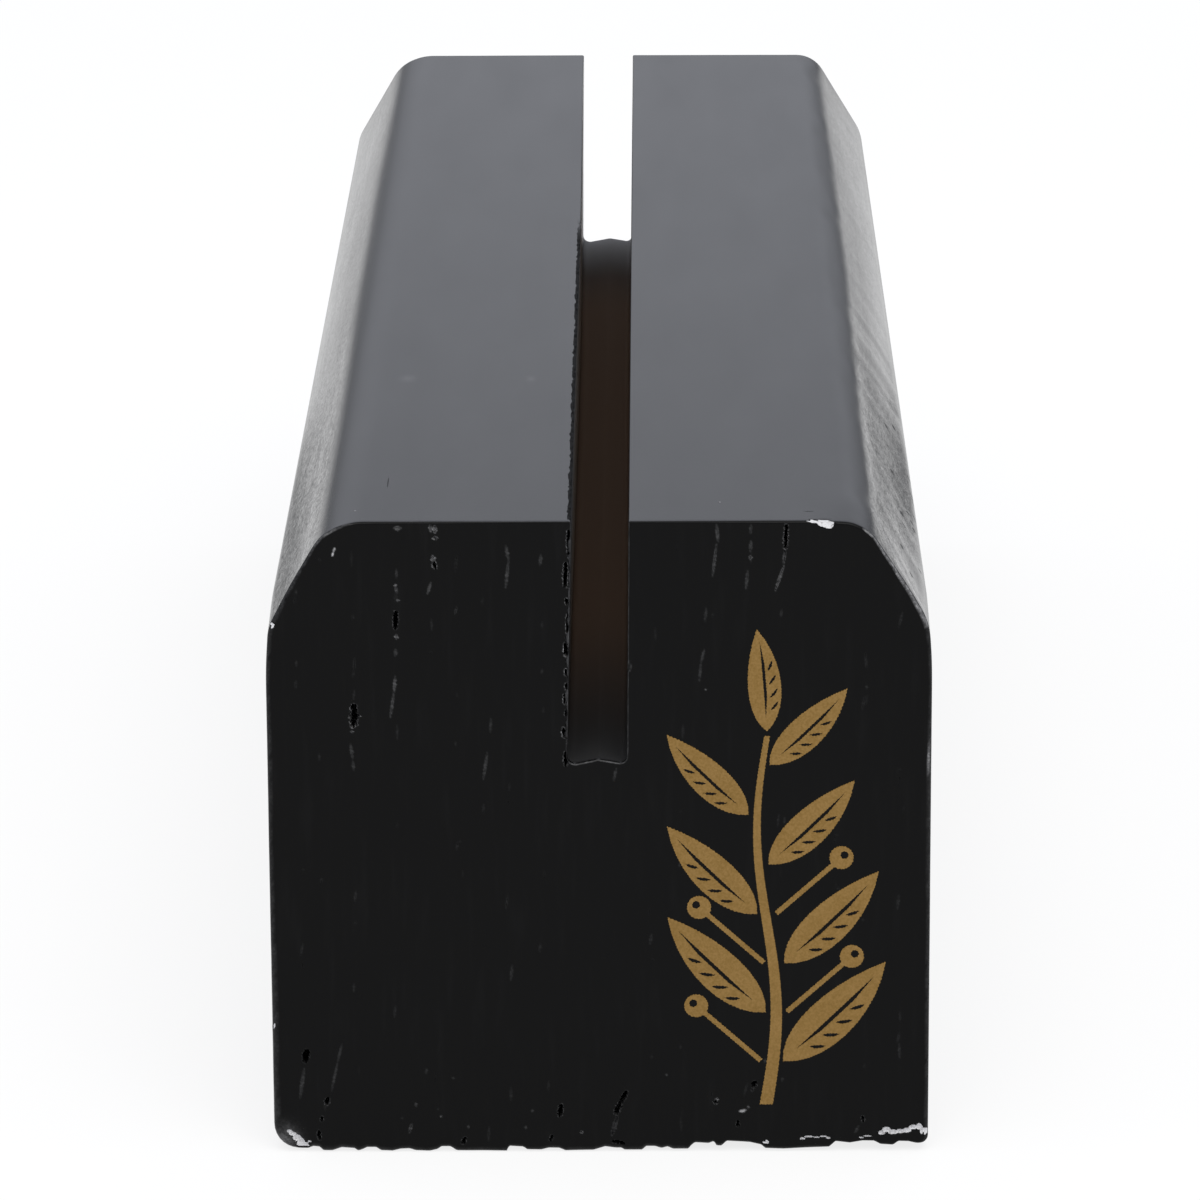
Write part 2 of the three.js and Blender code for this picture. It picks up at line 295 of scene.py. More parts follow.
GROWTH_LINES = [
    -18.1, -16.9, -14.8, -12.2, -9.9, -8.4, -6.8, -5.5, -3.4,
    3.2, 4.9, 6.8, 9.0, 11.0, 14.2, 16.0, 18.2,
]
FAINT_PORES = 110
VOID = 0.25  # a pore deeper than this is a void with steep walls
LIP = 0.022
LIP_WIDTH = 0.032
# The spacing of points on an end face: the widest, at the rim, at a chip and in a pore, and how
# fast it may widen with the distance.
CELL, RIM_CELL, CHIP_CELL, FINEST = 0.8, 0.12, 0.07, 0.05
WIDENING, RIM_WIDENING = 0.4, 0.45
PORE_ROOM = 0.08
CELLS_AT_ONCE = 2000


def faint_pores():
    """Short shallow pores, strewn along the growth lines."""
    x = rng.choice(GROWTH_LINES, FAINT_PORES) + rng.normal(0, 0.12, FAINT_PORES)
    z = rng.uniform(1.2, 39, FAINT_PORES)
    long = rng.uniform(0.1, 1.0, FAINT_PORES)
    lean = rng.normal(-0.08, 0.08, FAINT_PORES)
    half = rng.uniform(0.03, 0.06, FAINT_PORES)
    deep = rng.uniform(0.02, 0.05, FAINT_PORES)
    pale = rng.uniform(0, 0.05, FAINT_PORES)
    return np.column_stack([x, z, x + lean * long, z - long, half, deep, pale])


def off_pore(spots, pore):
    """How far each spot is from the pore's middle line, and where along it, from 0 to 1."""
    start, end = np.array(pore[:2]), np.array(pore[2:4])
    along = end - start
    share = np.clip((spots - start) @ along / (along @ along), 0, 1)
    return np.linalg.norm(spots - start - share[:, None] * along, axis=1), share


def strewn(rim, normals, pores, close):
    """Spots inside a rim, closer together at pores, at the rim and at the places in close."""
    step = CELL
    low, high = rim.min(0), rim.max(0)
    cells = crossed(np.arange(low[0], high[0], step), np.arange(low[1], high[1], step)) + step / 2
    kept = []
    while len(cells):
        depth = []
        for part in np.array_split(cells, len(cells) // CELLS_AT_ONCE + 1):
            apart = part[:, None] - rim
            nearest = (apart**2).sum(2).argmin(1)
            offset = apart[np.arange(len(part)), nearest]
            inside = (offset * normals[nearest]).sum(1) < 0
            depth.append(np.where(inside, 1, -1) * np.linalg.norm(offset, axis=1))
        depth = np.concatenate(depth)
        wanted = RIM_CELL + RIM_WIDENING * abs(depth)
        for pore in pores:
            off = off_pore(cells, pore)[0] - pore[4] - PORE_ROOM
            wanted = np.minimum(wanted, FINEST + WIDENING * np.maximum(0, off))
        for x, z, reach in close:
            off = np.hypot(cells[:, 0] - x, cells[:, 1] - z) - reach
            wanted = np.minimum(wanted, CHIP_CELL + WIDENING * np.maximum(0, off))
        split = (wanted < step) & (depth > -step) & (step > 1.5 * FINEST)
        kept.append(cells[~split & (depth > 0.4 * np.minimum(wanted, step))])
        step /= 2
        quarters = crossed([-step / 2, step / 2], [-step / 2, step / 2])
        cells = (cells[split][:, None] + quarters).reshape(-1, 2)
    return np.concatenate(kept)


def pored(spots, pores, lip):
    """How deep the surface lies at each spot, and how pale it is: partly wear, partly a painted glint on
    pore rims. A pore's lip stands proud.
    """
    depth, pale = np.zeros((2, len(spots)))
    rag = 1 + 0.3 * waver(spots[:, 0] + 3 * spots[:, 1], 0.9, 0.25)
    rag = np.maximum(rag + 0.2 * waver(spots[:, 1] * 2 - spots[:, 0], 0.8, 0.2), 0.4)
    for *ends, half, deep, light in pores:
        off, share = off_pore(spots, ends)
        off /= rag
        from_middle = abs(2 * share - 1)
        taper, steepness, rim_wear_and_glint_scale = (0.3, 0.4, 1.1) if deep > VOID else (0.8, 1.5, 0.45)
        half = half * (1 - taper * from_middle**2)
        inside = np.maximum(0, 1 - (off / half) ** 2) ** steepness
        lip_here = np.exp(-((np.maximum(off - half, 0) / LIP_WIDTH) ** 2))
        outside = lip_here * (off > half)
        depth = np.maximum(depth, inside * deep) - lip * outside * min(1, deep / 0.1)
        # Pale colour at the lip: partly wear, partly a painted glint where the lip would catch the light.
        patchy = light * (1 - 0.5 * from_middle) * (0.4 + 0.6 * rag) * rim_wear_and_glint_scale
        pale = np.maximum(pale, patchy * (outside if deep > VOID else lip_here))
    return depth, pale


# Both ends: a rounded edge from the long faces to the rim, and the sawn face inside the rim.
# The front has close points round its chips: x, z and how far.
CHIPPED = [(13.4, 39.7, 1.0), (-18.7, 0.9, 1.0), (-19.6, 33.6, 0.3), (13, 0.9, 1.1), (17.9, 1.3, 2.1)]
pits = {}
edge_rows = []
for end, into, pores in ((FRONT, 1, FRONT_PORES), (BACK, -1, BACK_PORES)):
    pores = [*pores, *faint_pores()]
    line = rows(0)[0 if into > 0 else -1]
    ring = np.flatnonzero((net[:, 1] == round(line, 4)) & (net[:, 0] < net[-1, 0]))
    ring_s = net[ring, 0]
    place, normal = on_section(ring_s)
    ease = np.interp(ring_s, girth, ring_eases) * (1 + 0.2 * waver(ring_s, 30, 2))
    last = ring
    turns = np.linspace(0, pi / 2, EDGE_STEPS + 1)
    for turn, room in [(0, GUARD / 2), *((turn, 0) for turn in turns)]:
        rim = place - normal * (ease * (1 - cos(turn)))[:, None]
        y = end + into * (ease * (1 - sin(turn)) + room)
        count = sum(map(len, points))
        points.append(np.column_stack([rim[:, 0], y, rim[:, 1]]))
        following = np.arange(count, count + len(ring))
        if into > 0:
            edge_rows.append((following, sin(2 * turn)))
        next_last, next_following = np.roll(last, -1), np.roll(following, -1)
        strip = [(last, next_last, following), (next_last, next_following, following)]
        triangles += [np.column_stack(sides)[:, ::into] for sides in strip]
        last = following
    spots = strewn(rim, normal, pores, CHIPPED if into > 0 else [])
    count = sum(map(len, points))
    numbers = np.concatenate([last, np.arange(count, count + len(spots))])
    on_end = np.concatenate([rim, spots])
    points.append(np.column_stack([spots[:, 0], np.full(len(spots), end), spots[:, 1]]))
    triangles.append(numbers[netted(on_end, rim=range(len(rim)))][:, ::into])
    pits[into] = (numbers, *pored(on_end, pores, LIP if into > 0 else 0.01))

block = np.concatenate(points)
faces = np.concatenate(triangles)
# Pale colour per point: partly wear and chips, partly painted glints on pore lips, torn rims and eased
# edges.
wear_and_glint = np.zeros(len(block))
for into, (numbers, depth, pale) in pits.items():
    block[numbers, 1] += into * depth
    wear_and_glint[numbers] = pale


# The bar's wear
#
# The long faces were planed and sanded by hand, so they are not quite flat. The saw tore the
# grain under the front end and along the left edge of the slot, and the corners have small chips
# down to the pale ground under the paint.

# How deep the hollows of a run are. A run is the stretch from one corner to the next, and has the
# number of the first one.
HOLLOWS = {
    RIGHT_SHOULDER: 0.03,
    TOP_RIGHT: 0.008,
    LEFT_BEND: 0.03,
    RIGHT_FOOT: 0.02,
    LEFT_SHOULDER: 0.02,
    SLOT_LEFT: 0.006,
}
WANDER = 0.13  # how far the right slope's upper corner wanders
BULGE = 0.22  # both slopes swell along their middle
ROUNDED = 0.25  # the right slope's front end is rubbed off
BLUNTED = 0.15  # both shoulders are rubbed off at the front
SLOT_SPREAD = 0.46  # the slot's left upper edge runs out to the left towards the back
# How high the torn front edge of the underside is: x and height.
FOOT = [
    (-20, 0), (-18.41, 0.17), (-17.92, 0.17), (-17.61, 0.29), (-17.24, 0.25), (-17.0, 0), (-16.44, 0),
    (-15.89, 0.21), (-15.09, 0.16), (-14.87, 0), (-14.6, 0.1), (-14.32, 0.25), (-13.77, 0.25),
    (-13.46, 0.03), (-12.76, 0), (-12.28, 0.13), (-11.73, 0.16), (-11.34, 0.03), (-10.48, 0),
    (-10.01, 0.11), (-9.77, 0.29), (-9.22, 0.29), (-8.83, 0.02), (-5.69, 0), (-5.66, 0.33),
    (-4.75, 0.28), (-4.52, 0.1), (-3.66, 0.07), (-3.19, 0.19), (-2.56, 0.18), (-2.17, 0.01),
    (-0.46, 0.04), (0.26, 0.27), (0.89, 0.18), (1.26, 0.18), (1.43, 0.05), (2.52, 0.03),
    (2.76, 0.27), (3.31, 0.27), (3.7, 0.14), (4.08, 0.25), (4.4, 0.09), (5.35, 0.09), (5.5, 0.3),
    (5.74, 0.52), (6.6, 0.46), (6.91, 0.6), (7.07, 0.3), (7.38, 0.3), (7.69, 0.63), (9.11, 0.55),
    (9.81, 0.39), (10.04, 0.16), (11.15, 0.12), (13.96, 0.25), (14.35, 0.62), (15.22, 0.51),
    (15.99, 0.65), (16.7, 0.64), (17.09, 0.42), (17.87, 0.37), (18.19, 0.62), (18.82, 0.6), (20, 0.3),
]
# A chip is the middle of an egg-shaped bite and the egg's three radii.
BARE_CHIPS = [
    ((12.85, FRONT, 40.03), (0.38, 0.2, 0.16)),
    ((13.5, FRONT, 40.05), (0.5, 0.3, 0.42)),
    ((13.75, FRONT, 39.85), (0.3, 0.2, 0.32)),
    ((14.05, FRONT, 40.03), (0.3, 0.16, 0.14)),
    ((-19.05, FRONT, 1.36), (0.2, 0.14, 0.14)),
    ((-18.85, FRONT, 1.2), (0.22, 0.14, 0.16)),
    ((-18.6, FRONT, 0.95), (0.26, 0.22, 0.24)),
    ((-18.4, FRONT, 0.62), (0.3, 0.28, 0.36)),
    ((-18.15, FRONT, 0.42), (0.3, 0.28, 0.28)),
    ((-17.85, FRONT, 0.72), (0.1, 0.1, 0.08)),
    ((-19.67, FRONT + 0.02, 1.85), (0.1, 0.1, 0.1)),
    ((-19.95, FRONT + 0.25, 8.1), (0.12, 0.22, 0.28)),
    ((-19.6, FRONT, 33.61), (0.15, 0.16, 0.24)),
    ((10.1, FRONT, 0.6), (0.2, 0.1, 0.08)),
    ((12.31, FRONT, 0.84), (0.16, 0.1, 0.09)),
    ((12.7, FRONT, 0.97), (0.3, 0.1, 0.07)),
    ((13.2, FRONT, 0.92), (0.16, 0.1, 0.06)),
    ((13.6, FRONT, 0.98), (0.22, 0.1, 0.06)),
    ((13.9, FRONT, 0.88), (0.12, 0.1, 0.08)),
    ((15.9, FRONT, 0.9), (0.16, 0.1, 0.06)),
    ((16.3, FRONT, 1.0), (0.26, 0.1, 0.06)),
    ((17.15, FRONT, 1.2), (0.2, 0.14, 0.16)),
    ((17.45, FRONT, 1.4), (0.26, 0.16, 0.2)),
    ((17.85, FRONT, 1.25), (0.3, 0.16, 0.17)),
    ((18.3, FRONT, 1.3), (0.28, 0.15, 0.16)),
    ((18.7, FRONT, 1.35), (0.26, 0.15, 0.18)),
    ((19.1, FRONT, 1.55), (0.28, 0.16, 0.18)),
    ((19.45, FRONT, 1.6), (0.2, 0.18, 0.22)),
    ((19.7, FRONT, 1.35), (0.2, 0.22, 0.26)),
    ((19.9, FRONT, 1.2), (0.16, 0.24, 0.2)),
]
FRONT_TEARS, TOP_TEARS = 30, 150
# How pale the front edge of each run is: partly wear, partly a painted glint along the eased edge.
EDGE_WEAR_AND_GLINT = (0.02, 0.03, 0.36, 0, 0.07, 0.13, 0.13, 0.04, 0, 0.05, 0.05, 0.03)
RIPPLE = 0.085
SLOPE_SKIN = 3  # how deep under a slope its points move with it
SHARP = 50  # the bar shades as an edge where faces meet at more than this many degrees
TEARS_OUT = 0.01  # from the slot's left upper edge to the middles of its tears


def spread(y):
    """How far the slot's left upper edge has moved out at y."""
    return SLOT_SPREAD * (0.5 * (y - FRONT) / (BACK - FRONT) + 0.5 * fade(y, 10, BACK))


def bitten(place, radii, push):
    """Pushes what lies inside an egg out of it, one way. Returns each point's distance in radii."""
    offset = (block - place) / radii
    far = np.linalg.norm(offset, axis=1)
    way = unit(np.array(push, float)) / radii
    a, b, c = way @ way, offset @ way, far**2 - 1
    inside = c < 0
    travel = (np.sqrt(b[inside] ** 2 - a * c[inside]) - b[inside]) / a
    block[inside] += travel[:, None] * unit(np.array(push, float))
    return far


def torn(place, radii, push):
    """A bite whose broken rim gets a painted glint: pale colour where it would catch the light."""
    far = bitten(place, radii, push)
    rim = rng.uniform(0, 0.16) ** 1.2 * np.exp(-(((far - 1.08) / 0.14) ** 2))
    np.maximum(wear_and_glint, rim * (block[:, 0] > place[0] - 0.5 * radii[0]), out=wear_and_glint)


# The slopes swell away from their ends, the right one is rubbed off at the front, and so are both
# shoulders.
for side, shoulder, bend in ((1, RIGHT_SHOULDER, TOP_RIGHT), (-1, LEFT_SHOULDER, LEFT_BEND)):
    low, high = (np.array(CORNERS[i][:2], float) for i in (shoulder, bend))
    along = high - low
    out = side * unit(np.array([along[1], -along[0]]))
    offset = block[:, [0, 2]] - low
    share = np.clip(offset @ along / (along @ along), 0, 1)
    skin = np.clip(1 + offset @ out / SLOPE_SKIN, 0, 1)
    swell = BULGE * fade(block[:, 1], -50, 0) * (1 - fade(block[:, 1], 20, 66))
    swell *= np.sin(pi * share) * skin
    if side > 0:
        reach = 0.3 + 6 * share
        rubbed_off = np.clip(1 - (block[:, 1] - FRONT) / reach, 0, 1) ** 2 * share
        swell -= ROUNDED * rubbed_off * skin
    block[:, [0, 2]] += swell[:, None] * out
    x, y, z = block.T
    at_shoulder = fade(side * x, 17, 19.5) * np.exp(-(((z - low[1]) / 1.8) ** 2))
    block[:, 0] -= side * BLUNTED * at_shoulder * np.clip(1 - (y - FRONT) / 8, 0, 1)
# The wood left of the slot leans out with the wall, half as far at the floor as at the top.
leaning = np.clip(-x / 1.8, 0, 1) * fade(x, -6, -2.2) * np.clip((z - 22) / 2.7, 0, 1)
block[:, 0] -= spread(y) * leaning * (0.5 + 0.5 * np.clip((z - 25.2) / 14.8, 0, 1))

# Shallow hollows on the long faces, and on the right slope ripples that run askew.
s, y = net.T
middles = (arc_starts + arc_ends) / 2
off_ends = fade(y, FRONT + 0.4, FRONT + 3) * (1 - fade(y, BACK - 3, BACK - 0.4))
for run, hollow in HOLLOWS.items():
    start, end = arc_ends[run], run_ends[run]
    across = fade(s, start - 0.6, start + 0.8) * (1 - fade(s, end - 0.8, end + 0.6))
    across *= off_ends
    wave = waver(y + 0.8 * (s - start), 60, 5) * waver(s - 0.05 * y, 3 * (end - start), 2)
    block[:long_count, [0, 2]] -= outward * (hollow * across * (0.5 + 0.5 * np.tanh(wave)))[:, None]
    if run == RIGHT_SHOULDER:
        behind = fade(y, -50, -35)
        ripple = behind * waver(y + 0.2 * s, 10, 3) + (1 - behind) * waver(y - 0.7 * s, 8, 3)
        calmer = RIPPLE * across * (1 - 0.85 * fade(y, -25, 5))
        block[:long_count, [0, 2]] -= outward * (calmer * (1 + np.tanh(ripple)))[:, None]
near = np.exp(-(((s - middles[TOP_RIGHT]) / 0.9) ** 2)) * off_ends
wandering = WANDER * near * (0.5 + 0.5 * np.tanh(waver(y, 45, 7)))
block[:long_count, [0, 2]] -= outward * wandering[:, None]

# The front edges' pale colour, partly wear and partly painted glints, and the torn front edge of the
# underside.
for numbers, share in edge_rows:
    edge_wear_and_glint = np.array(EDGE_WEAR_AND_GLINT)[np.searchsorted(middles, ring_s) - 1]
    edge_wear_and_glint = edge_wear_and_glint + 0.12 * np.exp(-(((ring_s - middles[LEFT_BEND]) / 1.2) ** 2))
    wear_and_glint[numbers] = edge_wear_and_glint * share * np.maximum(0, 0.65 + 0.5 * waver(ring_s, 2, 0.3))
x, y, z = block.T
rubbed_corner = np.exp(-(((x + 19.3) / 0.7) ** 2) - ((z - 0.8) / 0.8) ** 2) * (y < FRONT + 0.6)
wear_and_glint = np.maximum(wear_and_glint, 0.11 * rubbed_corner * np.maximum(0, 1 + 0.4 * waver(x + z, 2, 0.3)))
rise = np.interp(x, *zip(*FOOT)) * (1 - fade(y - FRONT, 0.6, 3.4 + 0.8 * waver(x, 9, 1)))
rise += np.maximum(0, 0.3 * waver(x, 12, 0.8)) * fade(y, BACK - 1, BACK)
block[:, 2] += rise * np.clip(1 - z / 1.3, 0, 1)

# Chips in the corners, then tears along the slot.
bare = np.zeros(len(block))
for place, radii in BARE_CHIPS:
    down = -1 if place[2] > 20 else 1
    far = bitten(place, radii, (-0.5 * np.sign(place[0]) * (abs(place[0]) > 19), 1, 0.6 * down))
    bare[far < 1] = 1
far = bitten((19.86, FRONT + 0.04, 25.2), (0.05, 0.08, 0.7), (-0.5, 1, 0))
np.maximum(wear_and_glint, 0.3 * np.exp(-((far / 1.2) ** 2)), out=wear_and_glint)
(floor_x, floor_z), (edge_x, edge_z) = CORNERS[SLOT_LEFT - 1][:2], CORNERS[SLOT_LEFT][:2]
for z in rng.uniform(25.6, 39.9, FRONT_TEARS):
    wall = np.interp(z, (floor_z, edge_z), (floor_x, edge_x))
    radii = (rng.uniform(0.05, 0.24), rng.uniform(0.3, 0.8), rng.uniform(0.08, 0.45))
    torn((wall, FRONT, z), radii, (-1, 0.5, 0))
torn((1.75, FRONT, 31.0), (0.15, 0.15, 0.28), (1, 0.8, 0))
for y in FRONT + (BACK - FRONT) * rng.uniform(0, 1, TOP_TEARS):
    radii = np.array([rng.uniform(0.05, 0.2), rng.uniform(0.15, 0.7), rng.uniform(0.06, 0.2)])
    place = (edge_x - TEARS_OUT - spread(y), y, edge_z)
    bitten(place, radii * (1 - 0.6 * fade(y, 4, 12)), (-1, 0, -1))
block = np.clip(block, bar_low - (0, LIP, 0), bar_high)


def linked(name, data):
    """A new object, put into the scene."""
    made = bpy.data.objects.new(name, data)
    bpy.context.scene.collection.objects.link(made)
    return made


# Where the slot, the slopes and the slot's left upper edge are, for the paint.
s, y = net.T
kerf, slope, brink = np.zeros((3, len(block)))
kerf[:long_count] = fade(s, middles[SLOT_RIGHT], middles[SLOT_RIGHT] + 0.6)
kerf[:long_count] *= 1 - fade(s, torn_at - 0.6, torn_at)
brink[:long_count] = np.clip(1 - (s - torn_at) / 0.85, 0, 1) * (s > arc_ends[SLOT_LEFT - 1])
for run in (RIGHT_SHOULDER, LEFT_BEND):
    until_next = 1 - fade(s, run_ends[run], middles[run + 1])
    slope[:long_count] += fade(s, middles[run], arc_ends[run]) * until_next

used = np.unique(faces)
order = np.zeros(len(block), int)
order[used] = np.arange(len(used))
mesh = bpy.data.meshes.new("wood_bar")
mesh.from_pydata((block[used] * MM).tolist(), [], order[faces].tolist())
marks = {"bare": bare, "wear_and_glint": wear_and_glint, "kerf": kerf, "slope": slope, "brink": brink}
for name, values in marks.items():
    mesh.attributes.new(name, "FLOAT", "POINT").data.foreach_set("value", values[used].astype(np.float32))
mesh.shade_smooth()
mesh.set_sharp_from_angle(angle=radians(SHARP))
wood_bar = linked("wood_bar", mesh)


# The black paint
#
# Two thin sprayed coats of satin black over a pale ground, rubbed down between them. The grain
# shows through as fine furrows, long on the faces and short and upright on the ends. Little of
# the spray reached down the slot, where the wood makes it brown. The slot's walls and its far
# end are painted lighter than that: painted light.
class Amount:
    """A value from a shader node. Sums with it add Math nodes."""

    def __init__(self, finish, socket):
        self.finish, self.socket = finish, socket

    def sum(self, operation, *values):
        return self.finish.add("ShaderNodeMath", {"operation": operation}, dict(enumerate(values)))

    def __add__(self, other):
        return self.sum("ADD", self, other)

    def __mul__(self, other):
        return self.sum("MULTIPLY", self, other)

    def __sub__(self, other):
        return self.sum("SUBTRACT", self, other)

    def __rsub__(self, other):
        return self.sum("SUBTRACT", other, self)

    def __abs__(self):
        return self.sum("ABSOLUTE", self)

    __radd__, __rmul__ = __add__, __mul__


class Finish:
    """The nodes of a material or of the world."""

    def __init__(self, owner):
        owner.use_nodes = True
        self.tree = owner.node_tree
        self.tree.nodes.clear()

    def add(self, kind, settings=None, sockets=None, out=0):
        """Adds a node with its settings, then the values or links of its sockets."""
        node = self.tree.nodes.new(kind)
        for name, value in (settings or {}).items():
            setattr(node, name, value)
        for name, value in (sockets or {}).items():
            if isinstance(value, Amount):
                self.tree.links.new(value.socket, node.inputs[name])
            else:
                node.inputs[name].default_value = value
        return Amount(self, node.outputs[out]) if len(node.outputs) else None

    def scaled(self, vector, scale):
        return self.add("ShaderNodeVectorMath", {"operation": "MULTIPLY"}, {0: vector, 1: scale})

    def noise(self, vector, scale, detail, rough=0.5):
        """Soft random values round 0.5, with so many swings to the metre along each axis."""
        sockets = {"Vector": self.scaled(vector, scale), "Scale": 1.0}
        sockets.update({"Detail": detail, "Roughness": rough})
        return self.add("ShaderNodeTexNoise", {}, sockets)

    def between(self, value, low, high):
        """0 where the value is low, 1 where it is high, and smooth between them."""
        sockets = {"Value": value, "From Min": low, "From Max": high}
        return self.add("ShaderNodeMapRange", {"interpolation_type": "SMOOTHSTEP"}, sockets)

    def mixed(self, factor, first, second):
        return self.add("ShaderNodeMix", {"data_type": "RGBA"}, {0: factor, 6: first, 7: second}, 2)

    def length(self, vector):
        return self.add("ShaderNodeVectorMath", {"operation": "LENGTH"}, {0: vector}, "Value")

    def on_rays(self, *kinds):
        """1 for rays of these kinds, 0 for others."""
        return sum(self.add("ShaderNodeLightPath", out=kind) for kind in kinds)


PAINT = (0.0012, 0.0012, 0.0013, 1)
DUSTY_PAINT = (0.0025, 0.0025, 0.0027, 1)
THIN_PAINT = (0.08, 0.05, 0.033, 1)
KERF_PAINT = (0.021, 0.021, 0.0215, 1)
LIGHTENED_WALL_PAINT = (0.06, 0.06, 0.061, 1)
LIGHTENED_BROWN_WALL = (0.31, 0.26, 0.22, 1)
UPPER_WALL = (0.115, 0.105, 0.098, 1)
FAR_END_PAINTED_LIGHT = (0.17, 0.17, 0.175, 1)
GROUND = (0.62, 0.62, 0.63, 1)
DULL_GROUND = (0.34, 0.33, 0.33, 1)
SATIN = 0.17  # the paint's roughness where nothing wore it
PAINT_IOR = 1.2
MICROMETRE = 0.000001
# Small marks on the top: x, y, and how far they reach each way.
NIBS = [(-14.6, -67.2, 0.09, 0.14), (7.3, -65.6, 0.08, 0.14)]
SMUDGES = [(-12.5, -34.9, 0.75, 1.3), (-4.55, -35.1, 0.45, 1.2)]
SCRATCHES = [(-12.85, -60.9, 0.05, 1.4), (12.6, -67.8, 0.35, 0.08)]
# Pits on the right slope: x, y, z.
PITS = [
    (19.78, -41.4, 33.75), (19.81, -42.5, 33.7), (19.28, -48.5, 34.5), (19.45, -50.1, 34.25),
    (19.54, -51.3, 34.1), (18.8, -51.3, 35.3), (18.81, -54.2, 35.25), (19.56, -60.6, 34.1),
    (18.9, -64.6, 35.1), (18.47, -43.4, 35.8), (18.8, -41.9, 35.3), (19.76, -37.5, 33.75),
    (18.44, -32.4, 35.85), (19.09, -28.4, 34.8), (18.44, -61.2, 35.85), (19.74, -47.2, 33.8),
]
PIT_WIDTH, PIT_LENGTH = 0.14, 0.36

black_paint = bpy.data.materials.new("black_satin_paint")
coat = Finish(black_paint)
place = coat.add("ShaderNodeTexCoord", out="Object")
# Where things are on the bar, in millimetres.
sideways, depth, height = (
    coat.add("ShaderNodeSeparateXYZ", {}, {0: place}, axis) * (1 / MM) for axis in "XYZ"
)
on_end = coat.between(abs(depth), BACK - 0.4, BACK - 0.1)
on_top = coat.between(height, 39.2, 39.8)
bare, wear_and_glint, in_kerf, on_slope, brink = (
    coat.add("ShaderNodeAttribute", {"attribute_name": name}, out="Fac")
    for name in ("bare", "wear_and_glint", "kerf", "slope", "brink")
)


def marked(x, y, across, along, z=40, soft=0.5):
    """1 inside a small oval, by default on the top, fading to 0 at its edge."""
    middle = (x * MM, y * MM, z * MM)
    offset = coat.add("ShaderNodeVectorMath", {"operation": "SUBTRACT"}, {0: place, 1: middle})
    offset = coat.scaled(offset, (1 / MM / across, 1 / MM / along, 1 / MM))
    return coat.between(coat.length(offset), 1.1, soft)


# Nibs are raised specks, and their pale colour further down is a painted highlight.
nib_bumps_and_highlights = sum(marked(*nib) for nib in NIBS)
scratches = sum(marked(*scratch) for scratch in SCRATCHES)
smudges = sum(marked(*smudge, soft=-0.3) for smudge in SMUDGES)
pits_seen = sum(marked(x, y, PIT_WIDTH, PIT_LENGTH, z) for x, y, z in PITS)

# Relief in micrometres: grain along the bar, finer furrows on the sawn ends, and the spray's peel.
fine = coat.noise(place, (2600, 300, 2600), 3)
sanded = coat.noise(place, (4500, 1500, 4500), 4, 0.8)
streaks = coat.noise(place, (650, 14, 650), 2)
behind = coat.between(depth, -55, 0)
flatter = 1 - on_slope * (0.6 + 0.25 * behind)
grain = ((6 - 4.5 * on_slope) * fine + (3 - 2 * on_slope) * sanded + 25 * streaks) * flatter
ends = 6 * coat.between(coat.noise(place, (4200, 900, 900), 3), 0.55, 0.8)
peel = 3 * coat.noise(place, (3200, 3200, 3200), 3)
crumbs = coat.noise(place, (5000, 5000, 5000), 4, 0.7)
bare_edge = coat.between(bare + crumbs * 0.5, 0.7, 0.8)
relief = (1 - on_end) * (1 - 0.5 * on_top) * grain - on_end * ends
relief = relief + peel + 18 * bare_edge * crumbs + 20 * nib_bumps_and_highlights - 10 * scratches

# The colours: dusty black outside, and in the slot black at the front, brown behind it and a painted
# light grey at the far end, where light comes in at its open end. The torn edge of the slot stays black.
dust = coat.between(coat.noise(place, (1500, 900, 160), 3), 0.5, 0.8)
brown = coat.between(depth, -69, -35) * (1 - 0.8 * coat.between(depth, 44, 67))
outside = coat.mixed(dust, PAINT, DUSTY_PAINT)
colour = coat.mixed(in_kerf, outside, coat.mixed(brown, KERF_PAINT, THIN_PAINT))
colour = coat.mixed(in_kerf * coat.between(depth, 56, 71), colour, FAR_END_PAINTED_LIGHT)
# The walls are painted lighter, most of all low down: painted light that makes up for the shade deep in
# the slot.
on_wall = in_kerf * coat.between(height, 25.2, 25.8)
wall = coat.mixed(coat.between(height, 27, 38), LIGHTENED_BROWN_WALL, UPPER_WALL)
colour = coat.mixed(on_wall, colour, coat.mixed(brown, LIGHTENED_WALL_PAINT, wall))
ragged = brink + 0.5 * coat.noise(place, (2500, 700, 2500), 3)
torn_edge = coat.between(ragged, 1.02, 1.06) * coat.between(height, 39.3, 39.7)
torn_edge = torn_edge * coat.between(depth, 12, 4)
colour = coat.mixed(torn_edge, colour, PAINT)

# The slopes were sanded across and rubbed duller in places, and a fan of fine lines runs out from
# the right one's lower front corner.
from_front = depth - FRONT
up_slope = height - CORNERS[RIGHT_SHOULDER][1]
on_right = on_slope * coat.between(sideways, 14, 15)
# Pale colour along a thin line up the right slope near its front: a painted sheen.
sheen_line = on_right * coat.between(abs(from_front - 0.3 - 0.94 * up_slope), 0.6, 0.1)
crease = on_right * coat.between(abs(from_front - 47.9 + 0.55 * up_slope), 2.5, 0.2)
on_left = on_slope - on_right
fan = from_front.sum("DIVIDE", from_front, up_slope + 0.8)
fan_lines = coat.noise(coat.add("ShaderNodeCombineXYZ", {}, {"X": fan}), (9, 1, 1), 2) - 0.5
dull_band = coat.between(abs(from_front - 31), 16, 4) * (0.14 - 0.028 * up_slope)
front_band = coat.between(from_front, 14, 8) * (0.03 * up_slope - 0.14)
left_stripe = coat.between(from_front, 50, 8) * coat.between(abs(up_slope - 2.2), 1.9, 0.3)
left_foot = coat.between(from_front, 60, 25) * coat.between(up_slope, 3, 0.5)
